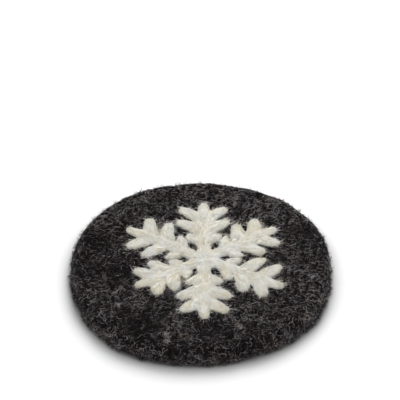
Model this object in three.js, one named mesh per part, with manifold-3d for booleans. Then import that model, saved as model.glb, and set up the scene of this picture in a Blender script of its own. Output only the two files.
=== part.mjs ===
// Hand-felted drink coaster: a thick round mat of charcoal wool, with a six-armed snowflake
// on its upper face. The snowflake is laid from separate tufts of cream wool, a spine and
// three pairs of barbs to each arm, and the tufts are felted into a shallow bed in the mat.
// Millimetres, +Z up. The origin is the middle of the underside, and +Y points to the back.

import * as THREE from "three";
import { mergeVertices } from "three/addons/utils/BufferGeometryUtils.js";
import Module from "manifold-3d";

const wasm = await Module();
wasm.setup();

// The mat
const MAT_DIAMETER = 100;
const MAT_THICKNESS = 7;
const UPPER_EDGE_REACH = 4.2; // how far in from the rim the soft upper edge begins to roll over
const UPPER_EDGE_DROP = 3.6;
const LOWER_EDGE_REACH = 2.4;
const LOWER_EDGE_RISE = 2.2;

// Hand felting leaves the rim a little out of round: slow waves in the radius, each with its
// number of lobes, its height as a share of the mat's radius, and the bearing of one crest.
const RIM_WAVES = [
  { lobes: 2, height: 0.012, crest: 77 },
  { lobes: 3, height: 0.008, crest: 10 },
  { lobes: 4, height: 0.012, crest: 47 },
  { lobes: 5, height: 0.004, crest: 30 },
];

// The snowflake, laid by eye and so a little off the middle of the mat
const SNOWFLAKE_RIGHT = 1.2;
const SNOWFLAKE_BACK = 1.4;
const ARM_LENGTH = 33.2;

// Each arm's bearing, and its reach as a share of that length. No two sides are laid quite alike:
// spread is how far the barbs on a side reach out, as a share of their usual spread, and lean is
// how far their tips lie on towards the arm's tip, as a share of the arm's reach.
const ARMS = [
  {
    name: "back_right_arm",
    bearing: 34,
    reach: 1.005,
    left: { spread: 1.06, lean: 0.015 },
    right: { spread: 1, lean: -0.01 },
  },
  {
    name: "back_arm",
    bearing: 90,
    reach: 1.03,
    left: { spread: 1.05, lean: 0.01 },
    right: { spread: 0.97, lean: 0.02 },
  },
  {
    name: "back_left_arm",
    bearing: 148.3,
    reach: 1.05,
    left: { spread: 1.04, lean: -0.055 },
    right: { spread: 1.08, lean: 0.01 },
  },
  {
    name: "front_left_arm",
    bearing: 211.2,
    reach: 0.9,
    left: { spread: 1.1, lean: -0.04 },
    right: { spread: 1.06, lean: -0.025 },
  },
  {
    name: "front_arm",
    bearing: 270,
    reach: 1.01,
    left: { spread: 1, lean: 0 },
    right: { spread: 1, lean: 0 },
  },
  {
    name: "front_right_arm",
    bearing: 331.5,
    reach: 1.005,
    left: { spread: 1.22, lean: -0.065 },
    right: { spread: 0.96, lean: 0 },
  },
];

// Barbs leave the spine in pairs. Where they root on it, and how far along and aside their tips
// lie, are shares of the arm's reach, and their width is a share of a spine's.
const BARB_ROWS = [
  { name: "outer", root: 0.66, along: 0.87, aside: 0.26, width: 1.08 },
  { name: "middle", root: 0.46, along: 0.64, aside: 0.295, width: 1.08 },
  { name: "inner", root: 0.25, along: 0.4, aside: 0.2, width: 0.85 },
];
const SIDES = [
  { name: "left", turn: 1 },
  { name: "right", turn: -1 },
];

// A tuft: a lock of combed wool, flat below, crowned above and rounded off to a blunt tip
const SPINE_WIDTH = 5;
const TUFT_SINK = 1.6; // how deep the wool is felted below the mat's upper face
const TUFT_CROWN = 0.7; // how far it stands proud of that face
const TIP_SHARE = 0.3; // the tip's width, as a share of the tuft's
const SPINE_THINS = 0.6; // where along a spine it begins to thin, and where along a barb
const BARB_THINS = 0.2;
const BARB_BOW = 0.5; // how far a barb bends off the straight line from root to tip
const FELTING_GAP = 0.3; // clearance between a tuft and its bed, and between two tufts

const RIM_STEPS = 84;
const EDGE_STEPS = 5;
const CROWN_STEPS = 5;
const TUFT_STATIONS = [0, 0.3, 0.5, 0.65, 0.8, 0.91, 0.97, 1];

const charcoalWool = new THREE.MeshStandardMaterial({ color: 0x2e2b2b, roughness: 1, metalness: 0 });
const creamWool = new THREE.MeshStandardMaterial({ color: 0xe0dac9, roughness: 0.95, metalness: 0 });

// Solids

// A closed geometry as a solid that can be cut and joined.
function solidOf(geometry) {
  const bare = geometry.clone();
  bare.deleteAttribute("normal");
  bare.deleteAttribute("uv");
  const merged = mergeVertices(bare);
  return new wasm.Manifold(
    new wasm.Mesh({
      numProp: 3,
      vertProperties: new Float32Array(merged.attributes.position.array),
      triVerts: new Uint32Array(merged.index.array),
    }),
  );
}

function geometryOf(solid) {
  const { vertProperties, triVerts } = solid.getMesh();
  const geometry = new THREE.BufferGeometry();
  geometry.setAttribute("position", new THREE.BufferAttribute(vertProperties, 3));
  geometry.setIndex(new THREE.BufferAttribute(triVerts, 1));
  geometry.computeVertexNormals();
  return geometry;
}

// A closed skin over rings of points, with both ends capped. Each ring is convex and runs
// anticlockwise, seen from the last ring.
function loft(rings) {
  const size = rings[0].length;
  const positions = rings.flat().flatMap((point) => point.toArray());
  const index = [];
  for (let ring = 0; ring + 1 < rings.length; ring++) {
    for (let i = 0; i < size; i++) {
      const next = (i + 1) % size;
      const [a, b] = [ring * size + i, ring * size + next];
      index.push(a, b, b + size, a, b + size, a + size);
    }
  }
  const last = (rings.length - 1) * size;
  for (let i = 1; i + 1 < size; i++) {
    index.push(0, i + 1, i);
    index.push(last, last + i, last + i + 1);
  }
  const geometry = new THREE.BufferGeometry();
  geometry.setAttribute("position", new THREE.Float32BufferAttribute(positions, 3));
  geometry.setIndex(index);
  return geometry;
}

// The mat

const rimRadius = MAT_DIAMETER / 2;

// The share of its radius that the rim gains from its waves at an angle.
function rimWave(angle) {
  return RIM_WAVES.reduce(
    (sum, { lobes, height, crest }) =>
      sum + height * Math.cos(lobes * (angle - THREE.MathUtils.degToRad(crest))),
    0,
  );
}

// Half of the mat's section, from the middle of the underside round the soft rim to the middle
// of the upper face.
function matProfile() {
  const profile = [new THREE.Vector2(0, 0)];
  for (let step = 0; step <= EDGE_STEPS; step++) {
    const turn = (step / EDGE_STEPS) * (Math.PI / 2);
    profile.push(
      new THREE.Vector2(
        rimRadius - LOWER_EDGE_REACH * (1 - Math.sin(turn)),
        LOWER_EDGE_RISE * (1 - Math.cos(turn)),
      ),
    );
  }
  for (let step = 0; step <= EDGE_STEPS; step++) {
    const turn = (step / EDGE_STEPS) * (Math.PI / 2);
    profile.push(
      new THREE.Vector2(
        rimRadius - UPPER_EDGE_REACH * (1 - Math.cos(turn)),
        MAT_THICKNESS - UPPER_EDGE_DROP * (1 - Math.sin(turn)),
      ),
    );
  }
  profile.push(new THREE.Vector2(0, MAT_THICKNESS));
  return profile;
}

// The whole mat before its bed is cut, set with the middle of its box over the origin.
function wholeMat() {
  const geometry = new THREE.LatheGeometry(matProfile(), RIM_STEPS);
  geometry.rotateX(Math.PI / 2);
  const position = geometry.attributes.position;
  for (let i = 0; i < position.count; i++) {
    const [x, y] = [position.getX(i), position.getY(i)];
    const swell = 1 + rimWave(Math.atan2(y, x));
    position.setXY(i, x * swell, y * swell);
  }
  geometry.computeBoundingBox();
  const middle = geometry.boundingBox.getCenter(new THREE.Vector3());
  return geometry.translate(-middle.x, -middle.y, 0);
}

// The snowflake

// A tuft's share of its full width at a station from 0, its root, to 1, its tip.
function taper(station, thins) {
  const thinning = Math.max(0, (station - thins) / (1 - thins));
  return TIP_SHARE + (1 - TIP_SHARE) * Math.sqrt(1 - thinning ** 3);
}

// A tuft along a curve that lies in the mat's upper face. With room above 0 it is larger by that
// much all round, which is the space that the tuft needs.
function tuft(curve, width, thins, room = 0) {
  const rings = TUFT_STATIONS.map((station) => {
    const along = curve.getTangentAt(station);
    const aside = new THREE.Vector3(-along.y, along.x, 0);
    const share = taper(station, thins);
    const half = (width / 2) * share + room;
    const crown = TUFT_CROWN * share + room;
    const end = station === 0 ? -room : station === 1 ? room : 0;
    const middle = curve.getPointAt(station).addScaledVector(along, end);
    const at = (across, up) => middle.clone().addScaledVector(aside, across).setZ(up);
    const ring = [at(-half, -TUFT_SINK - room), at(half, -TUFT_SINK - room)];
    for (let step = 0; step <= CROWN_STEPS; step++) {
      const turn = (step / CROWN_STEPS) * Math.PI;
      ring.push(at(half * Math.cos(turn), crown * Math.sin(turn)));
    }
    return ring;
  });
  return solidOf(loft(rings));
}

function spineCurve({ reach }) {
  return new THREE.LineCurve3(new THREE.Vector3(0, 0, 0), new THREE.Vector3(ARM_LENGTH * reach, 0, 0));
}

// A barb leaves its spine and bows a little towards the arm's tip.
function barbCurve(arm, { root, along, aside }, { name, turn }) {
  const { spread, lean } = arm[name];
  const length = ARM_LENGTH * arm.reach;
  const start = new THREE.Vector3(length * root, 0, 0);
  const tip = new THREE.Vector3(length * (along + lean), turn * length * aside * spread, 0);
  const run = tip.clone().sub(start).normalize();
  const bend = start.clone().lerp(tip, 0.5);
  bend.add(new THREE.Vector3(turn * run.y, -turn * run.x, 0).multiplyScalar(2 * BARB_BOW));
  return new THREE.QuadraticBezierCurve3(start, bend, tip);
}

// The wedge of the upper face that belongs to one arm, up to halfway to the arms beside it.
function armSector(arm, before, after) {
  const toLeft = THREE.MathUtils.degToRad(THREE.MathUtils.euclideanModulo(after - arm, 360) / 2);
  const toRight = THREE.MathUtils.degToRad(THREE.MathUtils.euclideanModulo(arm - before, 360) / 2);
  const apex = FELTING_GAP / 2 / Math.sin(Math.min(toLeft, toRight));
  const corner = (turn) =>
    new THREE.Vector2(apex + MAT_DIAMETER * Math.cos(turn), MAT_DIAMETER * Math.sin(turn));
  const outline = new THREE.Shape([new THREE.Vector2(apex, 0), corner(-toRight), corner(toLeft)]);
  const wedge = new THREE.ExtrudeGeometry(outline, { depth: 2 * MAT_THICKNESS, bevelEnabled: false });
  return solidOf(wedge.translate(0, 0, -MAT_THICKNESS));
}

// One arm's tufts, in the arm's own frame with +X along the spine: each with its name, its solid
// and the bed that it is felted into.
function armTufts(arm, sector) {
  const spine = spineCurve(arm);
  const made = [
    {
      name: `${arm.name}_spine`,
      solid: tuft(spine, SPINE_WIDTH, SPINE_THINS).intersect(sector),
      bed: tuft(spine, SPINE_WIDTH, SPINE_THINS, FELTING_GAP),
    },
  ];
  for (const side of SIDES) {
    const laid = [tuft(spine, SPINE_WIDTH, SPINE_THINS, FELTING_GAP)];
    for (const row of BARB_ROWS) {
      const curve = barbCurve(arm, row, side);
      const width = SPINE_WIDTH * row.width;
      const whole = tuft(curve, width, BARB_THINS).intersect(sector);
      const solid = laid.reduce((rest, room) => rest.subtract(room), whole);
      const bed = tuft(curve, width, BARB_THINS, FELTING_GAP);
      laid.push(bed);
      made.push({ name: `${arm.name}_${row.name}_barb_${side.name}`, solid, bed });
    }
  }
  return made;
}

// The coaster

const coaster = new THREE.Group();
coaster.name = "coaster";

const snowflake = new THREE.Group();
snowflake.position.set(SNOWFLAKE_RIGHT, SNOWFLAKE_BACK, MAT_THICKNESS);
coaster.add(snowflake);

let mat = solidOf(wholeMat());
ARMS.forEach((arm, i) => {
  const before = ARMS.at(i - 1).bearing;
  const after = ARMS[(i + 1) % ARMS.length].bearing;
  const group = new THREE.Group();
  group.rotation.z = THREE.MathUtils.degToRad(arm.bearing);
  snowflake.add(group);
  coaster.updateMatrixWorld(true);
  for (const { name, solid, bed } of armTufts(arm, armSector(arm.bearing, before, after))) {
    const mesh = new THREE.Mesh(geometryOf(solid), creamWool);
    mesh.name = name;
    group.add(mesh);
    mat = mat.subtract(solidOf(geometryOf(bed).applyMatrix4(group.matrixWorld)));
  }
});

const matMesh = new THREE.Mesh(geometryOf(mat), charcoalWool);
matMesh.name = "felt_mat";
coaster.add(matMesh);

export default coaster;
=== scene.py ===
"""Looks of a hand-felted wool coaster: a charcoal mat with a snowflake of cream wool tufts."""

import math
import random

import bmesh
import bpy
import numpy as np
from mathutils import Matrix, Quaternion, Vector, noise
from mathutils.bvhtree import BVHTree


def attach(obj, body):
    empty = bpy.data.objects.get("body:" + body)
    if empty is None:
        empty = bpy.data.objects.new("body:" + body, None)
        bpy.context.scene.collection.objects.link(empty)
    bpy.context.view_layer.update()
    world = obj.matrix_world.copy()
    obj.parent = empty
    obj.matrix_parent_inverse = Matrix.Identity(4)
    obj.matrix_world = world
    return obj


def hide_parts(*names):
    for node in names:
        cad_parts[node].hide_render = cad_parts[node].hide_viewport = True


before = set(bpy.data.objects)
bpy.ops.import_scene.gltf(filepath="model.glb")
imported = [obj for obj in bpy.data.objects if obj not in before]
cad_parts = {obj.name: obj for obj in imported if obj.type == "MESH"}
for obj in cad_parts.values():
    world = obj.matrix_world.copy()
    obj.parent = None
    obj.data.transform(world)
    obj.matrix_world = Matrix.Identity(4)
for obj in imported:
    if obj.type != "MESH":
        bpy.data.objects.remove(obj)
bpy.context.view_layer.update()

MM = 0.001
UP = Vector((0.0, 0.0, 1.0))
UPPER_FACE = 7 * MM  # the level of the mat's upper face
SAME_SPOT = 1e-7  # vertices closer than this are merged
ARMS = (
    "back_right_arm",
    "back_arm",
    "back_left_arm",
    "front_left_arm",
    "front_arm",
    "front_right_arm",
)
BARBS = tuple(
    f"{row}_barb_{side}" for row in ("outer", "middle", "inner") for side in ("left", "right")
)
TUFTS = tuple(f"{arm}_{tuft}" for arm in ARMS for tuft in ("spine", *BARBS))


# Materials

HAIR_MAP = "OFBake"  # the map that holds a hair's tone and the place along it
WOOL_IOR = 1.55
COLOUR_A = 6  # a Mix node's colour inputs and output, by number
COLOUR_B = 7
MIXED = 2


def linear(hex_colour):
    """An sRGB hex colour as linear red, green, blue and alpha."""
    parts = [int(hex_colour[i : i + 2], 16) / 255 for i in (1, 3, 5)]
    return (*[c / 12.92 if c <= 0.04045 else ((c + 0.055) / 1.055) ** 2.4 for c in parts], 1.0)


def add(tree, kind, inputs=None, stops=None, **settings):
    """Adds a node to a tree. Inputs take values or other nodes' outputs, by name or number."""
    node = tree.nodes.new(kind)
    for name, value in settings.items():
        setattr(node, name, value)
    for key, value in (inputs or {}).items():
        if isinstance(value, bpy.types.NodeSocket):
            tree.links.new(value, node.inputs[key])
        else:
            node.inputs[key].default_value = value
    if stops:
        elements = node.color_ramp.elements
        while len(elements) < len(stops):
            elements.new(1.0)
        for element, (place, hex_colour) in zip(elements, stops):
            element.position = place
            element.color = linear(hex_colour)
    return node


def new_material(name):
    """An empty node material and its tree."""
    material = bpy.data.materials.new(name)
    material.use_nodes = True
    material.node_tree.nodes.clear()
    return material, material.node_tree


def charcoal_felt():
    """Wool felted by hand: a matted ground of black and grey wool, dull, with no thread or weave.
    The eye sees cloudy patches a few millimetres wide and a net of wandering hairs, which is drawn
    coarser than real wool so that it shows."""
    material, tree = new_material("charcoal_wool_felt")
    place = add(tree, "ShaderNodeTexCoord").outputs["Object"]
    clouds = add(
        tree,
        "ShaderNodeTexNoise",
        {"Vector": place, "Scale": 1 / (7 * MM), "Detail": 3.0, "Roughness": 0.6},
    )
    grain = add(
        tree,
        "ShaderNodeTexNoise",
        {"Vector": place, "Scale": 1 / (0.9 * MM), "Detail": 2.0, "Roughness": 0.7},
    )
    tone = add(
        tree,
        "ShaderNodeMix",
        {"Factor": 0.6, "A": clouds.outputs["Fac"], "B": grain.outputs["Fac"]},
    )
    shade = add(
        tree,
        "ShaderNodeValToRGB",
        {"Fac": tone.outputs["Result"]},
        stops=((0.3, "#050404"), (0.5, "#0b0a0a"), (0.7, "#171515")),
    )
    wander = add(
        tree,
        "ShaderNodeTexNoise",
        {"Vector": place, "Scale": 1 / (0.9 * MM), "Detail": 1.0, "Distortion": 1.0},
    )
    net = add(
        tree,
        "ShaderNodeValToRGB",
        {"Fac": wander.outputs["Fac"]},
        stops=(
            (0.38, "#000000"),
            (0.41, "#ffffff"),
            (0.44, "#000000"),
            (0.47, "#000000"),
            (0.5, "#ffffff"),
            (0.53, "#000000"),
            (0.56, "#000000"),
            (0.59, "#ffffff"),
            (0.62, "#000000"),
        ),
    )
    colour = add(
        tree,
        "ShaderNodeMix",
        {
            "Factor": net.outputs["Color"],
            COLOUR_A: shade.outputs["Color"],
            COLOUR_B: linear("#2c2828"),
        },
        data_type="RGBA",
    )
    bump = add(
        tree,
        "ShaderNodeBump",
        {"Height": net.outputs["Color"], "Strength": 0.6, "Distance": 0.1 * MM},
    )
    surface = add(
        tree,
        "ShaderNodeBsdfPrincipled",
        {
            "Base Color": colour.outputs[MIXED],
            "Normal": bump.outputs["Normal"],
            "Roughness": 0.95,
            "IOR": WOOL_IOR,
            "Specular IOR Level": 0.03,
        },
    )
    add(tree, "ShaderNodeOutputMaterial", {"Surface": surface.outputs["BSDF"]})
    return material


def wool_hair(name, tones, tints):
    """Wool hairs, drawn a few times as thick as real ones so that they show. A hair's tone is read
    from the lower half of its map, and painted shade darkens it to its ends, where it goes down
    into the felt. From place to place the wool is tinted a little, as carded wool is."""
    material, tree = new_material(name)
    spot = add(tree, "ShaderNodeUVMap", uv_map=HAIR_MAP)
    along = add(tree, "ShaderNodeSeparateXYZ", {"Vector": spot.outputs["UV"]})
    tone = add(tree, "ShaderNodeMath", {0: along.outputs["Y"], 1: 2.0}, operation="MULTIPLY")
    shade = add(tree, "ShaderNodeValToRGB", {"Fac": tone.outputs["Value"]}, stops=tones)
    # painted shade: each hair darkens toward both ends, where it dips into the felt
    ends = add(
        tree,
        "ShaderNodeValToRGB",
        {"Fac": along.outputs["X"]},
        stops=((0.0, "#ececec"), (0.2, "#ffffff"), (0.8, "#ffffff"), (1.0, "#ececec")),
    )
    end_shaded = add(
        tree,
        "ShaderNodeMix",
        {"Factor": 1.0, COLOUR_A: shade.outputs["Color"], COLOUR_B: ends.outputs["Color"]},
        data_type="RGBA",
        blend_type="MULTIPLY",
    )
    place = add(tree, "ShaderNodeTexCoord").outputs["Object"]
    lots = add(tree, "ShaderNodeTexNoise", {"Vector": place, "Scale": 1 / (5 * MM), "Detail": 2.0})
    tint = add(tree, "ShaderNodeValToRGB", {"Fac": lots.outputs["Fac"]}, stops=tints)
    colour = add(
        tree,
        "ShaderNodeMix",
        {"Factor": 1.0, COLOUR_A: end_shaded.outputs[MIXED], COLOUR_B: tint.outputs["Color"]},
        data_type="RGBA",
        blend_type="MULTIPLY",
    )
    surface = add(
        tree,
        "ShaderNodeBsdfPrincipled",
        {
            "Base Color": colour.outputs[MIXED],
            "Roughness": 0.5,
            "IOR": WOOL_IOR,
            "Specular IOR Level": 0.05,
            "Sheen Weight": 0.015,
        },
    )
    add(tree, "ShaderNodeOutputMaterial", {"Surface": surface.outputs["BSDF"]})
    return material


def cream_tuft():
    """The matted core of a lock of undyed wool, dull and creamy, in shallow uneven patches."""
    material, tree = new_material("cream_wool")
    place = add(tree, "ShaderNodeTexCoord").outputs["Object"]
    patches = add(
        tree,
        "ShaderNodeTexNoise",
        {"Vector": place, "Scale": 1 / (1.6 * MM), "Detail": 3.0, "Roughness": 0.6},
    )
    shade = add(
        tree,
        "ShaderNodeValToRGB",
        {"Fac": patches.outputs["Fac"]},
        stops=((0.3, "#e4e1d3"), (0.6, "#faf8ef")),
    )
    bump = add(
        tree,
        "ShaderNodeBump",
        {"Height": patches.outputs["Fac"], "Strength": 0.5, "Distance": 0.2 * MM},
    )
    surface = add(
        tree,
        "ShaderNodeBsdfPrincipled",
        {
            "Base Color": shade.outputs["Color"],
            "Normal": bump.outputs["Normal"],
            "Roughness": 0.9,
            "IOR": WOOL_IOR,
            "Specular IOR Level": 0.05,
            "Sheen Weight": 0.03,
        },
    )
    add(tree, "ShaderNodeOutputMaterial", {"Surface": surface.outputs["BSDF"]})
    return material


CHARCOAL_FELT = charcoal_felt()
CHARCOAL_HAIR = wool_hair(
    "charcoal_wool_hair",
    tones=(
        (0.0, "#040303"),
        (0.35, "#110f0f"),
        (0.55, "#252122"),
        (0.72, "#4d4849"),
        (0.86, "#8a8486"),
        (1.0, "#d6d0cc"),
    ),
    tints=((0.35, "#f7f9ff"), (0.5, "#ffffff"), (0.65, "#fff7f2")),
)
CREAM_CORE = cream_tuft()
CREAM_HAIR = wool_hair(
    "cream_wool_hair",
    tones=((0.0, "#d2cfbe"), (0.35, "#fbfbf5"), (1.0, "#ffffff")),
    tints=((0.35, "#ffffff"), (0.65, "#fffaf0")),
)


# Felted bodies

FURROW_FILL = 0.45 * MM  # tufts swollen by this close the furrows between them
HEAP_RISE = 0.1 * MM  # how far the closed heap stands above its tufts
WOOL_TOP = 5.8 * MM  # felting draws the wool about above this level
DRAWN_SHARE = 0.85  # how much of the way out of a furrow wool is drawn up
MOST_ACROSS = 0.4 * MM  # the furthest that it is drawn across a furrow
HAIR_ROOM = 0.12 * MM  # how far below the heap a tuft stays, to leave room for its hairs
ROLL_FADE = 5 * MM  # below this level the roll of the upper face fades out
ROLL = (0.3 * MM, 16 * MM)  # the height and the width of the roll, as of each layer of bumps
MAT_BUMPS = ((0.3 * MM, 7 * MM), (0.18 * MM, 1.8 * MM), (0.08 * MM, 0.8 * MM))
TUFT_BUMPS = ((0.18 * MM, 1.6 * MM), (0.08 * MM, 0.6 * MM))


def new_piece(name, mesh, *materials):
    """A new object for a mesh, in the scene."""
    piece = bpy.data.objects.new(name, mesh)
    bpy.context.scene.collection.objects.link(piece)
    mesh.materials.clear()
    for material in materials:
        mesh.materials.append(material)
    return piece


def finished_mesh(piece):
    """A new mesh of a piece as its modifiers or its bevel make it."""
    depsgraph = bpy.context.evaluated_depsgraph_get()
    return bpy.data.meshes.new_from_object(piece.evaluated_get(depsgraph))


def remeshed(name, bm, voxel):
    """A close even mesh over the closed shapes in a bmesh, which is used up."""
    source = bpy.data.meshes.new(name)
    bm.to_mesh(source)
    bm.free()
    piece = new_piece(name, source)
    remesh = piece.modifiers.new("felting", "REMESH")
    remesh.mode = "VOXEL"
    remesh.voxel_size = voxel
    remesh.use_smooth_shade = True
    made = finished_mesh(piece)
    bpy.data.objects.remove(piece)
    bpy.data.meshes.remove(source)
    made.name = name
    return made


def swell(bm, growth):
    """Grows a bmesh along its normals, or shrinks it."""
    bm.normal_update()
    for vertex in bm.verts:
        vertex.co += vertex.normal * growth


def soften(mesh, rounds, growth):
    """Rounds a mesh off, then grows or shrinks it."""
    bm = bmesh.new()
    bm.from_mesh(mesh)
    for _ in range(rounds):
        bmesh.ops.smooth_vert(
            bm, verts=bm.verts, factor=0.5, use_axis_x=True, use_axis_y=True, use_axis_z=True
        )
    swell(bm, growth)
    bm.to_mesh(mesh)
    bm.free()


def felted(node, name, material, voxel, rounds, growth):
    """A CAD solid as a felted body with soft edges, still without its bumps."""
    bm = bmesh.new()
    bm.from_mesh(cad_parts[node].data)
    bmesh.ops.remove_doubles(bm, verts=bm.verts, dist=SAME_SPOT)
    mesh = remeshed(name, bm, voxel)
    soften(mesh, rounds, growth)
    return new_piece(name, mesh, material)


def blanket(pieces):
    """The outside of the tufts as one soft heap: swollen until the furrows fill, then drawn in."""
    bm = bmesh.new()
    for piece in pieces:
        bm.from_mesh(piece.data)
    swell(bm, FURROW_FILL)
    mesh = remeshed("blanket", bm, voxel=0.4 * MM)
    soften(mesh, rounds=3, growth=HEAP_RISE - FURROW_FILL)
    return new_piece("blanket", mesh)


def bumps(place, *layers):
    """The sum of noise layers at a place, each with its height and its width."""
    return sum(height * noise.noise(place / width) for height, width in layers)


def roll(place):
    """How far hand felting leaves the upper face above or below its level here."""
    flat = Vector((place.x, place.y, 0.0))
    return bumps(flat, ROLL) * min(1.0, place.z / ROLL_FADE)


def roughen(piece, layers, lowest=None):
    """Rolls a felted body with the upper face and raises bumps on it along its normals."""
    bm = bmesh.new()
    bm.from_mesh(piece.data)
    bm.normal_update()
    for vertex in bm.verts:
        rise = roll(vertex.co)
        vertex.co += vertex.normal * bumps(vertex.co, *layers) + Vector((0.0, 0.0, rise))
        if lowest is not None:
            vertex.co.z = max(vertex.co.z, lowest)
    bm.normal_update()
    bm.to_mesh(piece.data)
    bm.free()


class Skin:
    """The outside of some pieces: the place on it nearest to another, to lay wool against."""

    def __init__(self, *pieces):
        places = []
        faces = []
        for piece in pieces:
            first = len(places)
            places.extend(vertex.co.copy() for vertex in piece.data.vertices)
            faces.extend([first + i for i in face.vertices] for face in piece.data.polygons)
        self.tree = BVHTree.FromPolygons(places, faces)

    def under(self, place):
        """The nearest place on the skin, and its normal."""
        spot, normal, _, _ = self.tree.find_nearest(place)
        return spot, normal


def is_wool_top(vertex):
    """Whether felting draws the wool about here."""
    return vertex.co.z > WOOL_TOP


def drawn_up(piece, skin):
    """Wool of a tuft is drawn up out of the furrows of the heap and across them, and pressed in
    where it stands out of the heap."""
    ways = [vertex.normal.copy() for vertex in piece.data.vertices]
    for vertex, way in zip(piece.data.vertices, ways):
        spot, normal = skin.under(vertex.co)
        depth = (spot - vertex.co).dot(normal)
        if is_wool_top(vertex):
            across = Vector((way.x, way.y, 0.0)) * min(max(depth, 0.0), MOST_ACROSS)
            share = DRAWN_SHARE if depth > 0 else 1.0
            vertex.co += (spot - vertex.co) * share + across - normal * HAIR_ROOM


def matted(piece, skin, reach, share, level):
    """Wool of the mat within reach of a tuft is drawn against it, by a share of the way and up to
    a level, so that no ditch is left round it."""
    for vertex in filter(is_wool_top, piece.data.vertices):
        spot, _ = skin.under(vertex.co)
        near = max(0.0, 1 - (spot - vertex.co).length / reach)
        pull = (spot - vertex.co) * (share * near)
        vertex.co += Vector((pull.x, pull.y, near * max(0.0, level - vertex.co.z)))


mat = felted("felt_mat", "felt_mat_body", CHARCOAL_FELT, voxel=0.5 * MM, rounds=3, growth=0.0)
cores = {}
for tuft in TUFTS:
    cores[tuft] = felted(
        tuft, f"{tuft}_wool", CREAM_CORE, voxel=0.35 * MM, rounds=4, growth=-0.2 * MM
    )
spines = [cores[f"{arm}_spine"] for arm in ARMS]
heaps = []
for arm in ARMS:
    barbs = [cores[f"{arm}_{barb}"] for barb in BARBS]
    heap = blanket([*spines, *barbs])
    heap_skin = Skin(heap)
    for core in (cores[f"{arm}_spine"], *barbs):
        drawn_up(core, heap_skin)
    heaps.append(heap)
matted(mat, Skin(*cores.values()), reach=1.2 * MM, share=0.8, level=UPPER_FACE)

roughen(mat, MAT_BUMPS, lowest=0.25 * MM)
for piece in (*heaps, *cores.values()):
    roughen(piece, TUFT_BUMPS)
mat_skin = Skin(mat)
wool_skin = Skin(mat, *heaps)
for heap in heaps:
    bpy.data.objects.remove(heap)


# Hairs

SIDES = 3  # of a hair's section
LEAST_STEP = 0.05 * MM  # a hair whose points lie closer than this is folded up
TABLE_CLEARANCE = 0.09 * MM  # the lowest that the middle of a hair lies
TUCKED = -0.1 * MM  # the height of an end that is tucked into the felt
WOBBLE = 0.4  # how much a hair's bend varies along it, as a share of its curl
TONE_FOOT = 0.01  # where tones start on the lower half of the map, and how far they go
TONE_SPAN = 0.97
TONE_WIDTH = 0.01  # how much of the map one hair takes up
CORE_FOOT = 0.52  # where a core's top starts on the upper half of the map, and its underside
CORE_UNDER_FOOT = 0.76
CORE_SPAN = 0.22  # how far each of them goes
TONE_AND_LIGHT_OFFSET = Vector((-153, -288, -42)) * MM  # where in the noise the wool's patches are read, placed so that they also paint light: paler toward the back right
PATCHES = ((0.2, 3.2 * MM), (0.2, 13 * MM))  # how strong and how wide they are
PALE_KNOTS = (  # places on the upper face
    (-12.6 * MM, -40.9 * MM),
    (-12.2 * MM, -44.2 * MM),
    (42.0 * MM, -9.0 * MM),
    (14.2 * MM, -36.6 * MM),
    (-30.9 * MM, -25.1 * MM),
)
KNOT_HAIRS = 30
KNOT_SPREAD = 0.6 * MM
USUAL_STRAY = 0.8  # how far loose hairs stand off, as a share of their drawn height
LEAST_STRAY = 0.3
MOST_STRAY = 1.8
STRAY_PATCHES = (1.6, 2.5 * MM)  # how strongly that varies, and how wide its patches are
UPWARD = 0.6  # normals of the mat's upper face rise more than this
DOWNWARD = -0.7  # normals of its underside fall at least this far
BED_LEVEL = 6 * MM  # the bed of the tufts lies below this
RIM_RADIUS = 44 * MM  # the rim lies outside this
FOOT_LEVEL = 2.2 * MM  # the foot of the rim lies below this
TUFT_TOP = 0.3  # normals of a tuft's top rise more than this
TUFT_EDGE = -0.2  # and those of its edge more than this
EDGE_LEVEL = 6.6 * MM  # the edge of a tuft lies above this
EDGE_REACH = 0.8 * MM  # and closer to the mat than this
COMBED_PATCH = 0.22 * MM * MM  # the area of a tuft's top for each combed hair
COMBED_SPREAD = 0.22  # how far combed hairs turn from the tuft's direction, in radians
FRAYED_PATCH = 0.011 * MM * MM  # the area of a tuft's edge for each frayed hair
FRAYED_SPREAD = 0.35
FRAYED_ROOT = 0.3 * MM  # how far inside the edge a frayed hair starts
SHORT = (1.0 * MM, 2.6 * MM)  # lengths of hairs
LONG = (2.0 * MM, 5.0 * MM)
THICK = (0.055 * MM, 0.12 * MM)  # thicknesses of hairs
COARSE = (0.09 * MM, 0.16 * MM)
FINE = (0.06 * MM, 0.1 * MM)

draw = random.Random(7)


def starts(piece, count, wanted):
    """Places spread evenly over those of a piece's faces that are wanted, with their normals."""
    faces = [face for face in piece.data.polygons if wanted(face)]
    chosen = draw.choices(faces, weights=[face.area for face in faces], k=count)
    return [(face.center.copy(), face.normal.copy()) for face in chosen]


def any_way(normal):
    """A direction along the surface, at random."""
    way = normal.orthogonal()
    way.rotate(Quaternion(normal, draw.uniform(0.0, math.tau)))
    return way


def lie(skin, place, way, length, heights, curl):
    """The points of a hair that lies curled on a skin, at heights above it."""
    bend = draw.gauss(0.0, curl)
    points = []
    for height in heights:
        spot, normal = skin.under(place)
        points.append(spot + normal * height)
        way = way - normal * way.dot(normal)
        way.rotate(Quaternion(normal, bend + draw.gauss(0.0, WOBBLE * curl)))
        way.normalize()
        place = spot + way * (length / (len(heights) - 1))
    return points


def hair_section():
    """The section that every hair is swept with, of radius 1, with a corner upwards."""
    section = bpy.data.curves.new("hair_section", "CURVE")
    spline = section.splines.new("POLY")
    spline.points.add(SIDES - 1)
    spline.use_cyclic_u = True
    for i, point in enumerate(spline.points):
        turn = math.pi / 2 - math.tau * i / SIDES
        point.co = (math.cos(turn), math.sin(turn), 0.0, 1.0)
    piece = bpy.data.objects.new("hair_section", section)
    bpy.context.scene.collection.objects.link(piece)
    return piece


SECTION = hair_section()


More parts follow.
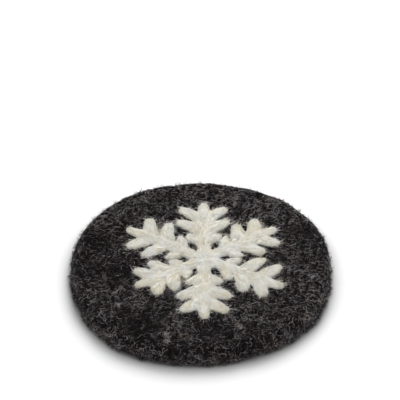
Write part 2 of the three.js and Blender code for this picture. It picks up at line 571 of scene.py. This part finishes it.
def is_drawn_out(hair):
    """Whether no two neighbouring points of a hair fall on one spot, as they may in a hollow."""
    points = hair[0]
    return all((after - before).length > LEAST_STEP for before, after in zip(points, points[1:]))


def swept(name, hairs):
    """A mesh of closed tapering tubes, one to a hair. The lower half of its map holds the place
    along a hair across, and the hair's tone upwards."""
    hairs = list(filter(is_drawn_out, hairs))
    curve = bpy.data.curves.new(name, "CURVE")
    curve.dimensions = "3D"
    curve.bevel_mode = "OBJECT"
    curve.bevel_object = SECTION
    for points, thickness, _ in hairs:
        spline = curve.splines.new("POLY")
        spline.points.add(len(points) - 1)
        spline.points.foreach_set("co", [c for point in points for c in (*point, 1.0)])
        middle = [0.5 * thickness] * (len(points) - 2)
        spline.points.foreach_set("radius", [0.0, *middle, 0.0])
    rope = bpy.data.objects.new(name, curve)
    bpy.context.scene.collection.objects.link(rope)
    mesh = finished_mesh(rope)
    bpy.data.objects.remove(rope)
    bpy.data.curves.remove(curve)
    layer = mesh.uv_layers[0]
    layer.name = HAIR_MAP
    places = np.empty(2 * len(mesh.loops), np.float32)
    layer.uv.foreach_get("vector", places)
    places = places.reshape(-1, 2)
    corners = [4 * SIDES * (len(points) - 1) for points, _, _ in hairs]
    tones = np.repeat([tone for _, _, tone in hairs], corners)
    places[:, 1] = (TONE_FOOT + TONE_SPAN * tones + TONE_WIDTH * places[:, 1]) / 2
    layer.uv.foreach_set("vector", places.ravel())
    bm = bmesh.new()
    bm.from_mesh(mesh)
    bmesh.ops.remove_doubles(bm, verts=bm.verts, dist=SAME_SPOT)
    for face in bm.faces:
        face.smooth = True
    bm.to_mesh(mesh)
    bm.free()
    return mesh


def tone_and_painted_light(place):
    """How much paler or darker the carded wool is here, from patch to patch; the patches are also
    placed as painted light, paler toward the back right.
    """
    return bumps(place + TONE_AND_LIGHT_OFFSET, *PATCHES)


def stray(place):
    """How far loose hairs stand off the felt here, as a share of their drawn height."""
    return min(max(USUAL_STRAY + bumps(place, STRAY_PATCHES), LEAST_STRAY), MOST_STRAY)


def arched(top, waves=1):
    """Heights along a hair that rises and falls in waves, with both ends tucked in."""
    return [TUCKED, *[top, 0.8 * top] * waves, TUCKED]


def tangle(count, wanted, lift, tones, lengths, thickness, waves=1):
    """Hairs curled on the felt, going every way, with both ends tucked in. Tones spread by a beta
    law, as black and pale wool are mixed, and lengths and thicknesses between two values."""
    hairs = []
    for place, normal in starts(mat, count, wanted):
        heights = arched(draw.uniform(0.2, 1.0) * lift, waves)
        way = any_way(normal)
        points = lie(mat_skin, place, way, draw.uniform(*lengths), heights, curl=0.6)
        # the wool's own tone, plus painted light from where the patches are placed
        tone = draw.betavariate(*tones) + tone_and_painted_light(place)
        hairs.append((points, draw.uniform(*thickness), min(max(tone, 0.0), 1.0)))
    return hairs


def loose(count, wanted, tones):
    """Fine hairs that stand off the felt, rooted at one end, further in some places than in
    others, with tones spread by a beta law."""
    hairs = []
    for place, normal in starts(mat, count, wanted):
        top = draw.uniform(0.3, 1.5) * stray(place) * MM
        heights = [TUCKED, 0.4 * top, 0.85 * top, top]
        way = any_way(normal)
        length = draw.uniform(0.5, 2.2) * MM
        points = lie(mat_skin, place, way, length, heights, curl=0.5)
        thickness = draw.uniform(0.09, 0.17) * MM
        hairs.append((points, thickness, draw.betavariate(*tones)))
    return hairs


def knot(x, y):
    """A small knot of pale wool that carding left in the felt."""
    hairs = []
    for _ in range(KNOT_HAIRS):
        place = Vector((draw.gauss(x, KNOT_SPREAD), draw.gauss(y, KNOT_SPREAD), UPPER_FACE))
        spot, normal = mat_skin.under(place)
        heights = arched(draw.uniform(0.45, 0.7) * MM)
        way = any_way(normal)
        length = draw.uniform(0.8, 1.8) * MM
        points = lie(mat_skin, spot, way, length, heights, curl=0.8)
        thickness = draw.uniform(0.08, 0.13) * MM
        tone = draw.uniform(0.9, 1.0)
        hairs.append((points, thickness, tone))
    return hairs


def is_upper(face):
    """Whether a face of the mat belongs to its upper face."""
    return face.normal.z > UPWARD and face.center.z > BED_LEVEL


def is_rim(face):
    """Whether a face of the mat belongs to its rim."""
    return DOWNWARD < face.normal.z <= UPWARD and face.center.xy.length > RIM_RADIUS


def is_foot(face):
    """Whether a face of the mat belongs to the foot of its rim."""
    return is_rim(face) and face.center.z < FOOT_LEVEL


def is_under(face):
    """Whether a face of the mat belongs to its underside."""
    return face.normal.z <= DOWNWARD


felt_hairs = {
    "upper_face_low_hairs": tangle(
        15000, is_upper, lift=0.2 * MM, tones=(1.0, 1.7), lengths=SHORT, thickness=THICK
    ),
    "upper_face_top_hairs": tangle(
        16000, is_upper, lift=0.35 * MM, tones=(0.36, 0.64), lengths=SHORT, thickness=THICK
    ),
    "upper_face_long_hairs": tangle(
        5000, is_upper, lift=0.5 * MM, tones=(1.0, 0.75), lengths=LONG, thickness=FINE, waves=2
    ),
    "rim_low_hairs": tangle(
        10000, is_rim, lift=0.2 * MM, tones=(1.1, 1.7), lengths=SHORT, thickness=THICK
    ),
    "rim_top_hairs": tangle(
        9000, is_rim, lift=0.4 * MM, tones=(0.5, 0.7), lengths=SHORT, thickness=THICK
    ),
    "rim_long_hairs": tangle(
        2000, is_rim, lift=0.5 * MM, tones=(1.0, 0.6), lengths=LONG, thickness=FINE, waves=2
    ),
    "underside_hairs": tangle(
        13000, is_under, lift=0.18 * MM, tones=(0.6, 0.6), lengths=SHORT, thickness=COARSE
    ),
    "upper_face_loose_hairs": loose(1500, is_upper, tones=(0.6, 0.8)),
    "rim_loose_hairs": loose(3500, is_rim, tones=(0.6, 0.9)),
    # partly painted light: the foot's hairs are paler than the rest, for pale fuzz and for floor
    # light coming through them
    "foot_loose_hairs": loose(6000, is_foot, tones=(4.0, 2.0)),
    "pale_knots": [hair for x, y in PALE_KNOTS for hair in knot(x, y)],
}
for name, hairs in felt_hairs.items():
    for points, _, _ in hairs:
        for point in points:
            point.z = max(point.z, TABLE_CLEARANCE)
    piece = new_piece(name, swept(name, hairs), CHARCOAL_HAIR)
    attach(piece, "root")


def lengthwise(core):
    """The direction in which a tuft was combed, away from the snowflake's middle."""
    flat = np.array([vertex.co[:2] for vertex in core.data.vertices])
    middle = flat.mean(axis=0)
    axis = np.linalg.svd(flat - middle, full_matrices=False)[2][0]
    way = Vector((axis[0], axis[1], 0.0))
    if way.dot(Vector((*middle, 0.0))) < 0:
        way.negate()
    return way


def is_top(face):
    """Whether a face of a tuft looks up."""
    return face.normal.z > TUFT_TOP


def is_edge(face):
    """Whether a face of a tuft lies where the tuft meets the mat's upper face."""
    spot, _ = mat_skin.under(face.center)
    is_above = face.center.z > EDGE_LEVEL and face.normal.z > TUFT_EDGE
    return is_above and (spot - face.center).length < EDGE_REACH


def hair_count(core, wanted, patch):
    """How many hairs the wanted faces of a tuft hold, one to a patch."""
    return int(sum(face.area for face in core.data.polygons if wanted(face)) / patch)


def combed(core):
    """Hairs combed along a tuft, some running off its end onto the felt."""
    way = lengthwise(core)
    hairs = []
    for place, _ in starts(core, hair_count(core, is_top, COMBED_PATCH), is_top):
        length = draw.uniform(2.5, 6.0) * MM
        heading = way.copy()
        heading.rotate(Quaternion(UP, draw.gauss(0.0, COMBED_SPREAD)))
        top = draw.uniform(0.02, 0.25) * MM
        heights = [-0.05 * MM, 0.6 * top, top, 0.6 * top, 0.02 * MM]
        begin = place - heading * (length * draw.uniform(0.2, 0.8))
        points = lie(wool_skin, begin, heading, length, heights, curl=0.12)
        thickness = draw.uniform(0.1, 0.18) * MM
        hairs.append((points, thickness, draw.random()))
    return hairs


def frayed(core):
    """Fine short hairs that stray from the edges of a tuft onto the felt round it."""
    way = lengthwise(core)
    hairs = []
    for place, normal in starts(core, hair_count(core, is_edge, FRAYED_PATCH), is_edge):
        out = Vector((normal.x, normal.y, 0.0)).normalized()
        heading = (way * draw.uniform(0.1, 1.0) + out * draw.uniform(0.5, 1.2)).normalized()
        heading.rotate(Quaternion(UP, draw.gauss(0.0, FRAYED_SPREAD)))
        length = min(0.4 + draw.expovariate(1 / 0.8), 3.0) * MM
        top = draw.uniform(0.1, 0.4) * MM
        heights = [0.0, 0.8 * top, top, 0.6 * top]
        begin = place - heading * FRAYED_ROOT
        points = lie(wool_skin, begin, heading, length + FRAYED_ROOT, heights, curl=0.3)
        thickness = draw.uniform(0.06, 0.11) * MM
        hairs.append((points, thickness, draw.random()))
    return hairs


def join_hairs(core, mesh):
    """Adds its hairs to a tuft's core. The core's faces take the upper half of the map, seen from
    above and from below."""
    bm = bmesh.new()
    bm.from_mesh(core.data)
    bm.from_mesh(mesh)
    bm.normal_update()
    bm.faces.ensure_lookup_table()
    core_faces = len(core.data.polygons)
    for face in bm.faces[core_faces:]:
        face.material_index = 1
    flat = np.array([vertex.co[:2] for vertex in core.data.vertices])
    low = flat.min(axis=0)
    high = flat.max(axis=0)
    layer = bm.loops.layers.uv[HAIR_MAP]
    for face in bm.faces[:core_faces]:
        foot = CORE_FOOT if face.normal.z >= 0 else CORE_UNDER_FOOT
        for loop in face.loops:
            across, up = (np.array(loop.vert.co[:2]) - low) / (high - low)
            loop[layer].uv = (across, foot + CORE_SPAN * up)
    bm.to_mesh(core.data)
    bm.free()
    bpy.data.meshes.remove(mesh)


for tuft, core in cores.items():
    join_hairs(core, swept(f"{tuft}_hairs", combed(core) + frayed(core)))
    core.data.materials.append(CREAM_HAIR)
    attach(core, "root")
    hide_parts(tuft)

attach(mat, "root")
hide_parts("felt_mat")
bpy.data.objects.remove(SECTION)


# Floor, light and camera

FLOOR_REACH = 3.0
PAINTED_SHADE_REACH = 14 * MM  # how far the painted shade in the floor's colour reaches out from under the rim
SKY_STRENGTH = 0.74
LAMP_SIZE = 0.7
LAMP_POWER = 7.6
LAMP_PLACE = (0.12, 0.75, 0.62)
IMAGE_SIZE = 400  # pixels
PIXELS_PER_MM = 2.645
BELOW_MIDDLE = 61.7  # how many pixels below the image's middle the coaster's middle lies
ELEVATION = math.radians(40.4)
DISTANCE = 0.75
SIDEWAYS = -0.34 * MM


def paper_floor():
    """White paper, with painted shade in its colour close to the coaster, where little light comes
    in.
    """
    mesh = bpy.data.meshes.new("floor")
    bm = bmesh.new()
    bmesh.ops.create_grid(bm, x_segments=1, y_segments=1, size=FLOOR_REACH)
    bm.to_mesh(mesh)
    bm.free()
    material, tree = new_material("white_paper")
    # painted shade: the paper's colour darkens where the coaster is near, as ambient occlusion
    # finds it
    nook = add(tree, "ShaderNodeAmbientOcclusion", {"Distance": PAINTED_SHADE_REACH}, samples=8)
    paper = add(
        tree,
        "ShaderNodeValToRGB",
        {"Fac": nook.outputs["AO"]},
        stops=((0.4, "#909090"), (0.95, "#ffffff")),
    )
    surface = add(tree, "ShaderNodeBsdfDiffuse", {"Color": paper.outputs["Color"]})
    add(tree, "ShaderNodeOutputMaterial", {"Surface": surface.outputs["BSDF"]})
    return new_piece("floor", mesh, material)


def studio_light():
    """Even white light all round, and one large soft lamp above and behind."""
    world = bpy.data.worlds.new("studio")
    bpy.context.scene.world = world
    world.use_nodes = True
    tree = world.node_tree
    tree.nodes.clear()
    sky = add(
        tree, "ShaderNodeBackground", {"Color": (1.0, 1.0, 1.0, 1.0), "Strength": SKY_STRENGTH}
    )
    add(tree, "ShaderNodeOutputWorld", {"Surface": sky.outputs["Background"]})
    lamp = bpy.data.lights.new("overhead", "AREA")
    lamp.shape = "DISK"
    lamp.size = LAMP_SIZE
    lamp.energy = LAMP_POWER
    lamp_piece = bpy.data.objects.new("overhead", lamp)
    lamp_piece.location = LAMP_PLACE
    lamp_piece.rotation_euler = (-lamp_piece.location).to_track_quat("-Z", "Y").to_euler()
    bpy.context.scene.collection.objects.link(lamp_piece)


def photo_camera():
    """A camera at the photograph's viewing angle and with its framing."""
    focus = PIXELS_PER_MM * DISTANCE / MM
    camera = bpy.data.cameras.new("camera")
    camera.angle = 2 * math.atan(IMAGE_SIZE / 2 / focus)
    piece = bpy.data.objects.new("camera", camera)
    piece.location = (
        SIDEWAYS,
        -DISTANCE * math.cos(ELEVATION),
        UPPER_FACE + DISTANCE * math.sin(ELEVATION),
    )
    tilt = math.pi / 2 - ELEVATION + math.atan(BELOW_MIDDLE / focus)
    piece.rotation_euler = (tilt, 0.0, 0.0)
    bpy.context.scene.collection.objects.link(piece)
    return piece


floor = paper_floor()
studio_light()
bpy.context.scene.camera = photo_camera()
bpy.context.scene.view_settings.view_transform = "Standard"
